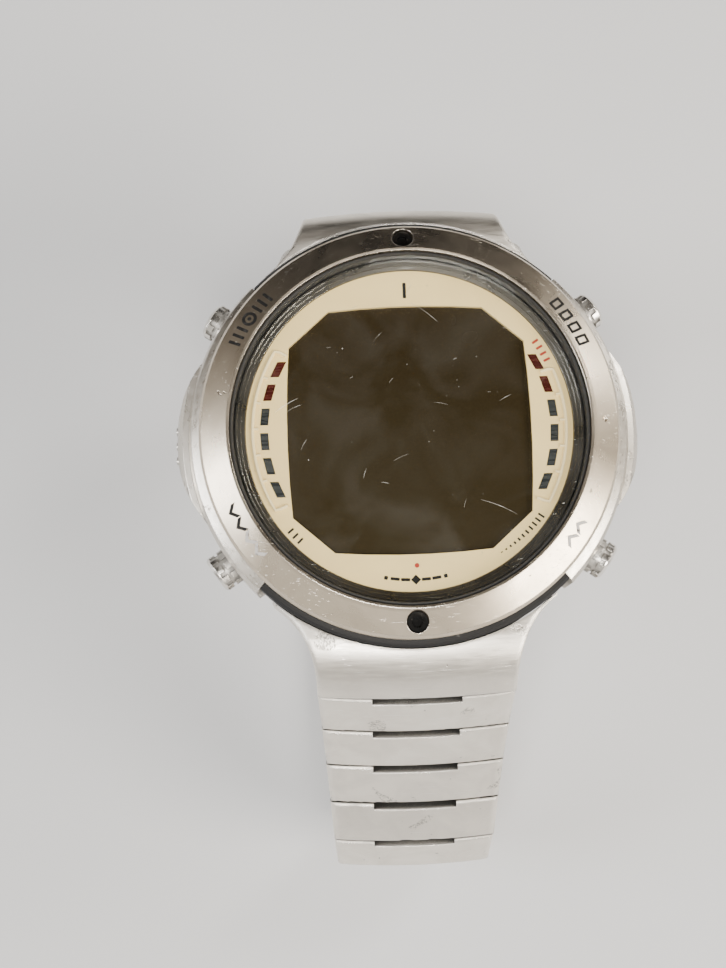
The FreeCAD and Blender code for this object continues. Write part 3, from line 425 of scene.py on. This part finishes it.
def round_dot(size, count=20):
    return [(size * math.cos(2 * math.pi * i / count), size * math.sin(2 * math.pi * i / count))
            for i in range(count)]


def bar(width, height):
    """A short bar with clipped corners."""
    w = width / 2
    h = height / 2
    c = min(width, height) * 0.18
    return [(-w + c, -h), (w - c, -h), (w, -h + c), (w, h - c), (w - c, h), (-w + c, h),
            (-w, h - c), (-w, -h + c)]


# ------------------------------------------------------------------ dial print and relief
# Places on the dial and bezel are a radius in mm and an angle in degrees, 0 at three o'clock.
dial_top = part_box("dial_plate")[1].z / MM
PRINT_LIFT = 0.012
PRINT_THICK = 0.02
RELIEF_BASE = dial_top - 0.02
BRACKET_RADIUS = 17.3
BRACKET_FOOT = -30.0
BRACKET_STEPS = 40
HOOK_BEND = 16.8
HOOK_END = 15.9
TICK_ANGLES = (21.5, 11.5, 1.5, -8.5, -18.5)
TICK_RADII = (16.65, 17.2)
FOOT_RADIUS = 16.75
FOOT_DASHES = (  # angle, width, height
    (-101.0, 0.42, 0.42), (-97.6, 1.0, 0.34), (-93.7, 1.0, 0.34),
    (-86.0, 1.0, 0.34), (-82.1, 1.0, 0.34), (-78.7, 0.42, 0.42),
)
DIAMOND = [(-0.55, 0.0), (0.0, -0.55), (0.55, 0.0), (0.0, 0.55)]


def bracket(side, top):
    """The raised outline beside one row of segments, with ticks between them."""
    def build(bm):
        span = BRACKET_FOOT - top
        arc = [on_circle(BRACKET_RADIUS, top + span * i / BRACKET_STEPS)
               for i in range(BRACKET_STEPS + 1)]
        hook_top = [on_circle(HOOK_END, top + 0.9), on_circle(HOOK_BEND, top + 0.7)]
        hook_low = [on_circle(HOOK_BEND, BRACKET_FOOT - 0.6),
                    on_circle(HOOK_END, BRACKET_FOOT - 1.0)]
        path = hook_top + arc + hook_low
        ridge(bm, [(side * x, y) for x, y in path], 0.20, 0.34, RELIEF_BASE)
        for angle in TICK_ANGLES:
            if angle < top - 2.0:
                tick = [on_circle(radius, angle) for radius in TICK_RADII]
                ridge(bm, [(side * x, y) for x, y in tick], 0.17, 0.30, RELIEF_BASE)
    return build


def print_mark(bm, shape, radius, degrees):
    """One flat mark printed on the dial."""
    slab(bm, local_shape(shape, radius, degrees), lambda x, y: dial_top + PRINT_LIFT, PRINT_THICK)


def dial_black(bm):
    print_mark(bm, bar(0.38, 1.80), 15.8, 89.9)
    for angle, width, height in FOOT_DASHES:
        print_mark(bm, bar(width, height), FOOT_RADIUS, angle)
    print_mark(bm, DIAMOND, FOOT_RADIUS, -89.85)
    for i in range(3):
        print_mark(bm, bar(0.24, 0.80), 17.3, -140.6 + 2.5 * i)
    for i in range(11):
        top = -0.28 + 0.068 * i
        rising = [(-0.11, -0.40), (0.11, -0.40), (0.11, top), (-0.11, top)]
        print_mark(bm, rising, 17.3, -56.0 + 2.0 * i)


def dial_red(bm):
    for i in range(4):
        print_mark(bm, bar(0.28, 0.80), 17.2, 25.2 + 2.7 * i)
    print_mark(bm, round_dot(0.26), 15.2, -89.2)


# The brackets wear the lighter cream, a painted highlight on the relief.
for side, tag, top in ((1, "right", 21.0), (-1, "left", 32.0)):
    new_piece("dial_bracket_" + tag, "head", lit_relief_cream, bracket(side, top))

black_ink = ink_material("dial_ink_black", (0.010, 0.0095, 0.009), 0.0)
red_ink = ink_material("dial_ink_red", (0.36, 0.045, 0.030), 0.0)
new_piece("dial_marks_black", "head", black_ink, dial_black)
new_piece("dial_marks_red", "head", red_ink, dial_red)

# ------------------------------------------------------------------ bezel symbols
bezel_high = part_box("bezel")[1].z / MM
CONE_START = 20.4
CONE_DROP = 0.2
CONE_SLOPE = 1.3 / 2.5
FILL_LIFT = 0.03
FILL_THICK = 0.07
SYMBOL_RADIUS = 21.35
CHEVRON_RADIUS = 21.4
HOOP_STEPS = 32
SQUARE_SIDES = (  # x, y, width, height
    (0, 0.6, 1.14, 0.32), (0, -0.6, 1.14, 0.32), (-0.43, 0, 0.30, 0.90), (0.43, 0, 0.30, 0.90),
)
CHEVRON_ARMS = (
    [(-0.80, -0.56), (0.0, 0.12), (0.0, 0.58), (-0.80, -0.10)],
    [(0.0, 0.12), (0.80, -0.56), (0.80, -0.10), (0.0, 0.58)],
)


def cone_top(x, y):
    """Height of the filled marks' faces over the bezel's slope."""
    fall = CONE_DROP + (math.hypot(x, y) - CONE_START) * CONE_SLOPE
    return bezel_high - fall + FILL_LIFT


def fill_mark(bm, shape, radius, degrees, turn=0.0):
    """One filled mark that lies on the bezel's slope."""
    slab(bm, local_shape(shape, radius, degrees, turn), cone_top, FILL_THICK)


def hoop(bm, outer, inner, degrees):
    """A flat ring drawn on the bezel's slope."""
    big = local_shape(round_dot(outer, HOOP_STEPS), SYMBOL_RADIUS, degrees)
    small = local_shape(round_dot(inner, HOOP_STEPS), SYMBOL_RADIUS, degrees)
    for i in range(HOOP_STEPS):
        j = (i + 1) % HOOP_STEPS
        slab(bm, [big[i], big[j], small[j], small[i]], cone_top, FILL_THICK)


def symbol_select(bm):
    """A ringed dot between two sets of three bars."""
    hoop(bm, 0.84, 0.50, 144.0)
    fill_mark(bm, round_dot(0.22), SYMBOL_RADIUS, 144.0)
    for angle in (135.4, 137.8, 140.2, 147.8, 150.2, 152.6):
        fill_mark(bm, bar(0.34, 1.45), SYMBOL_RADIUS, angle)


def symbol_mode(bm):
    """Four open squares."""
    for angle in (25.0, 29.4, 33.8, 38.2):
        for x, y, width, height in SQUARE_SIDES:
            side_bar = [(px + x, py + y) for px, py in bar(width, height)]
            fill_mark(bm, side_bar, SYMBOL_RADIUS, angle)


def chevrons(angles, turn):
    """V marks along the bezel; each arm is its own quad so that it lies flat."""
    def build(bm):
        for angle in angles:
            for arm in CHEVRON_ARMS:
                fill_mark(bm, arm, CHEVRON_RADIUS, angle, turn)
    return build


fill_dark = ink_material("bezel_fill_dark", (0.010, 0.0095, 0.009), 0.3)
fill_worn = ink_material("bezel_fill_worn", (0.10, 0.095, 0.09), 0.9)
for name, fill, build in (
    ("select", fill_dark, symbol_select),
    ("mode", fill_dark, symbol_mode),
    ("down", fill_dark, chevrons((204.6, 209.2), 0.0)),
    ("down_worn", fill_worn, chevrons((213.8, 218.4), 0.0)),
    ("up", fill_worn, chevrons((322.2, 326.8), 180.0)),
):
    new_piece("bezel_symbol_" + name, "head", fill, build)

# ------------------------------------------------------------------ scratches on the crystal
glass_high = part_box("crystal")[1].z / MM
BURR_LIFT = 0.006
BURR_THICK = 0.010
BURR_STEPS = 5
BURR_BOW = 0.04
LONG_BURRS = (  # x, y, direction, length, half width
    (-13.6, 2.4, 32.0, 3.4, 0.035),
    (-12.6, 2.2, 25.0, 1.6, 0.03),
    (2.0, 12.6, -38.0, 3.6, 0.028),
    (9.2, -9.4, -24.0, 4.2, 0.026),
    (0.4, 15.2, 60.0, 1.3, 0.03),
)


def on_glass(x, y):
    return glass_high + BURR_LIFT


def burr(bm, x, y, degrees, length, width):
    """One slightly bowed scratch that tapers to both ends."""
    along_x, along_y = on_circle(1.0, degrees)
    one_side = []
    other_side = []
    for i in range(BURR_STEPS + 1):
        reach = length * (i / BURR_STEPS - 0.5)
        bow = BURR_BOW * length * math.sin(math.pi * i / BURR_STEPS)
        half = width * (0.25 + 0.75 * math.sin(math.pi * (i + 0.3) / (BURR_STEPS + 0.6)))
        for side, out in ((1, one_side), (-1, other_side)):
            off = bow + side * half
            out.append((x + along_x * reach - along_y * off, y + along_y * reach + along_x * off))
    slab(bm, other_side + one_side[::-1], on_glass, BURR_THICK)


def scratches(bm):
    """Thin raised burrs: a few long ones, scattered short ones and dust specks."""
    rng = random.Random(7)
    for place in LONG_BURRS:
        burr(bm, *place)
    for _ in range(16):
        reach = 15.5 * math.sqrt(rng.random())
        turn = rng.uniform(0, 2 * math.pi)
        burr(bm, reach * math.cos(turn), reach * math.sin(turn), rng.uniform(-80, 80),
             rng.uniform(0.4, 1.8), rng.uniform(0.012, 0.022))
    for _ in range(26):
        reach = 17.5 * math.sqrt(rng.random())
        turn = rng.uniform(0, 2 * math.pi)
        speck = round_dot(rng.uniform(0.03, 0.07), 7)
        slab(bm, [(x + reach * math.cos(turn), y + reach * math.sin(turn)) for x, y in speck],
             on_glass, BURR_THICK)


def burr_material():
    """Whitish, half clear scratches."""
    s = Shader("scratch_burr")
    tone = s.noise(s.mapped((900.0,) * 3), 2.0, 0.5)
    base = s.blend(s.ramp(tone, 0.35, 0.65), (0.55, 0.53, 0.48, 1), (0.78, 0.77, 0.73, 1))
    dull = s.node("ShaderNodeBsdfDiffuse", {"Color": base})
    clear = s.node("ShaderNodeBsdfTransparent")
    share = s.ramp(tone, 0.35, 0.62, 0.10, 0.36)
    mixed = s.node("ShaderNodeMixShader", {0: share, 1: clear.outputs[0], 2: dull.outputs[0]})
    s.tree.links.new(mixed.outputs[0], s.out.inputs[0])
    return s.mat


new_piece("crystal_scratches", "head", burr_material(), scratches)

# ------------------------------------------------------------------ floor, lights, world, camera
FLOOR_HALF = 3.0
FLOOR_GAP = 0.02 * MM
LIGHTS = (  # name, place, aim, width, height, power, tint; in metres and watts
    ("key", (0.40, -0.24, 0.33), (0, -0.01, 0), 0.32, 0.26, 5.0, (1.0, 0.93, 0.83)),
    ("left", (-0.46, -0.04, 0.22), (0, 0, 0), 0.18, 0.44, 2.6, (0.97, 0.98, 1.0)),
    ("top", (-0.06, -0.22, 0.60), (0, 0, 0), 0.26, 0.20, 4.6, (1.0, 0.97, 0.92)),
    ("rim", (0.34, 0.20, 0.28), (0.01, 0.01, 0), 0.12, 0.20, 1.3, (1.0, 0.96, 0.90)),
)
ROOM_TONES = (  # share of the way from the six o'clock side to the twelve o'clock side, colour
    (0.00, (0.85, 0.82, 0.78, 1)),
    (0.11, (1.25, 1.19, 1.10, 1)),
    (0.34, (0.92, 0.87, 0.79, 1)),
    (0.58, (0.86, 0.79, 0.70, 1)),
    (0.79, (0.25, 0.22, 0.19, 1)),
    (0.92, (0.025, 0.025, 0.027, 1)),
)
ROOM_STRENGTH = 0.66
CAMERA_PLACE = (-7.389, -33.369, 169.755)
CAMERA_TURN = (9.92813, -0.40892, -1.95798)
CAMERA_LENS = 71.90


def floor_material():
    """Pale matt paper with a faint drift of tone."""
    s = Shader("studio_floor")
    tooth = s.noise(s.mapped((420.0,) * 3), 3.0, 0.6)
    tone = s.noise(s.mapped((6.0,) * 3), 2.0, 0.5)
    base = s.blend(s.ramp(tone, 0.3, 0.7), (0.505, 0.51, 0.52, 1), (0.475, 0.48, 0.49, 1))
    return s.surface(Base_Color=base, Roughness=0.75, Normal=s.bump(tooth, 0.04, 0.0001))


def add_floor():
    """A wide plane just under the object's lowest point."""
    height = cad_box[0].z - FLOOR_GAP
    mesh = bpy.data.meshes.new("floor")
    bm = bmesh.new()
    bm.faces.new([bm.verts.new((x * FLOOR_HALF, y * FLOOR_HALF, height))
                  for x, y in ((-1, -1), (1, -1), (1, 1), (-1, 1))])
    bm.to_mesh(mesh)
    bm.free()
    floor = bpy.data.objects.new("floor", mesh)
    bpy.context.scene.collection.objects.link(floor)
    mesh.materials.append(floor_material())


def area_light(name, place, aim, width, height, power, tint):
    data = bpy.data.lights.new(name, "AREA")
    data.shape = "RECTANGLE"
    data.size = width
    data.size_y = height
    data.energy = power
    data.color = tint
    lamp = bpy.data.objects.new(name, data)
    lamp.location = place
    way = Vector(aim) - Vector(place)
    lamp.rotation_euler = way.to_track_quat("-Z", "Y").to_euler()
    bpy.context.scene.collection.objects.link(lamp)


def map_range(nodes, values):
    """A Map Range node with its from-low, from-high, to-low and to-high set."""
    item = nodes.new("ShaderNodeMapRange")
    for place, value in enumerate(values, 1):
        item.inputs[place].default_value = value
    return item


def add_world():
    """A room that is bright towards six o'clock and dark towards twelve and straight above."""
    world = bpy.data.worlds.new("studio")
    bpy.context.scene.world = world
    world.use_nodes = True
    nodes = world.node_tree.nodes
    links = world.node_tree.links
    split = nodes.new("ShaderNodeSeparateXYZ")
    links.new(nodes.new("ShaderNodeTexCoord").outputs["Generated"], split.inputs[0])
    lift = map_range(nodes, (-1.0, 1.0, 0.0, 1.0))
    links.new(split.outputs[1], lift.inputs[0])
    tone = nodes.new("ShaderNodeValToRGB")
    links.new(lift.outputs[0], tone.inputs[0])
    stops = tone.color_ramp.elements
    stops[0].position = ROOM_TONES[0][0]
    stops[0].color = ROOM_TONES[0][1]
    stops[1].position = ROOM_TONES[-1][0]
    stops[1].color = ROOM_TONES[-1][1]
    for position, color in ROOM_TONES[1:-1]:
        stops.new(position).color = color
    zenith = map_range(nodes, (0.78, 0.93, 1.0, 0.05))
    zenith.interpolation_type = "SMOOTHSTEP"
    links.new(split.outputs[2], zenith.inputs[0])
    shade = nodes.new("ShaderNodeVectorMath")
    shade.operation = "SCALE"
    links.new(tone.outputs[0], shade.inputs[0])
    links.new(zenith.outputs[0], shade.inputs["Scale"])
    background = nodes["Background"]
    links.new(shade.outputs[0], background.inputs["Color"])
    background.inputs["Strength"].default_value = ROOM_STRENGTH


def add_camera():
    """The photograph's viewing angle; the place is in mm and the turn in degrees."""
    data = bpy.data.cameras.new("camera")
    data.sensor_fit = "HORIZONTAL"
    data.sensor_width = 36.0
    data.lens = CAMERA_LENS
    data.clip_start = 0.005
    camera = bpy.data.objects.new("camera", data)
    camera.location = Vector(CAMERA_PLACE) * MM
    camera.rotation_euler = [math.radians(angle) for angle in CAMERA_TURN]
    bpy.context.scene.collection.objects.link(camera)
    bpy.context.scene.camera = camera


add_floor()
for light in LIGHTS:
    area_light(*light)
add_world()
add_camera()
